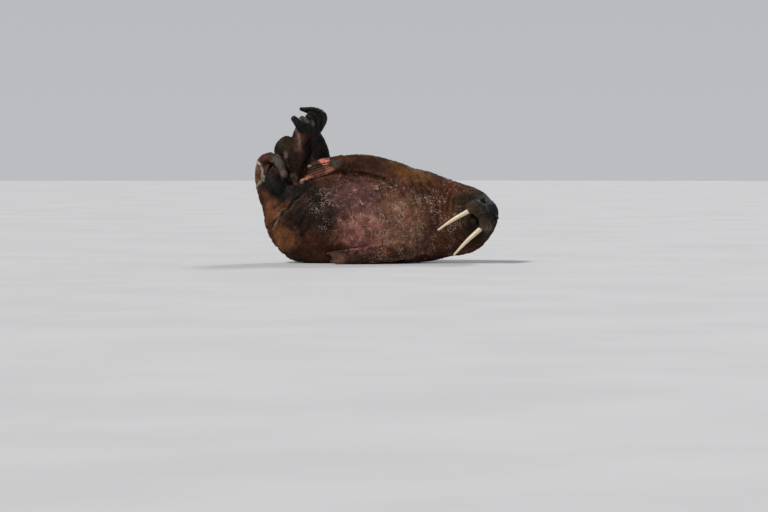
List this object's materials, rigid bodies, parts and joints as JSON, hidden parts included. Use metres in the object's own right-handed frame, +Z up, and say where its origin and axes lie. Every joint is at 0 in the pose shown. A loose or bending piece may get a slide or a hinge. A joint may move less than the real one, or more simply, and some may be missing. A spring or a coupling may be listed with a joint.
{
  "type": "walrus model",
  "caption": "Life-size still model of an adult male walrus lying on its left side, hind flippers raised, head flexed to the chest, with long ivory tusks.",
  "frame": {"origin": "centre of the whole model's bounding box in plan, at floor level", "axes": "+X towards the head, -Y the way the belly faces, +Z up"},
  "size_m": [2.5838, 0.9188, 1.6447],
  "materials": {
    "brown_hide": "coarse, thick, wrinkled skin with short flat hair",
    "dark_hide": "dark wrinkled skin with short hair",
    "flipper_hide": "dark, nearly bare skin, slightly shiny",
    "ivory": "worn ivory, satin",
    "eye": "wet, glossy"
  },
  "bodies": {
    "root": {"head": "dark_hide", "muzzle": "dark_hide", "chin": "dark_hide", "neck": "brown_hide", "chest": "brown_hide", "belly": "brown_hide", "rump": "brown_hide", "tail": "brown_hide", "right_arm": "brown_hide", "left_arm": "brown_hide", "right_hind_leg": "brown_hide", "left_hind_leg": "brown_hide", "right_foreflipper": "flipper_hide", "left_foreflipper": "flipper_hide", "right_hind_flipper": "flipper_hide", "left_hind_flipper": "flipper_hide", "right_tusk": "ivory", "left_tusk": "ivory", "right_eye": "eye", "left_eye": "eye"}
  },
  "joints": []
}
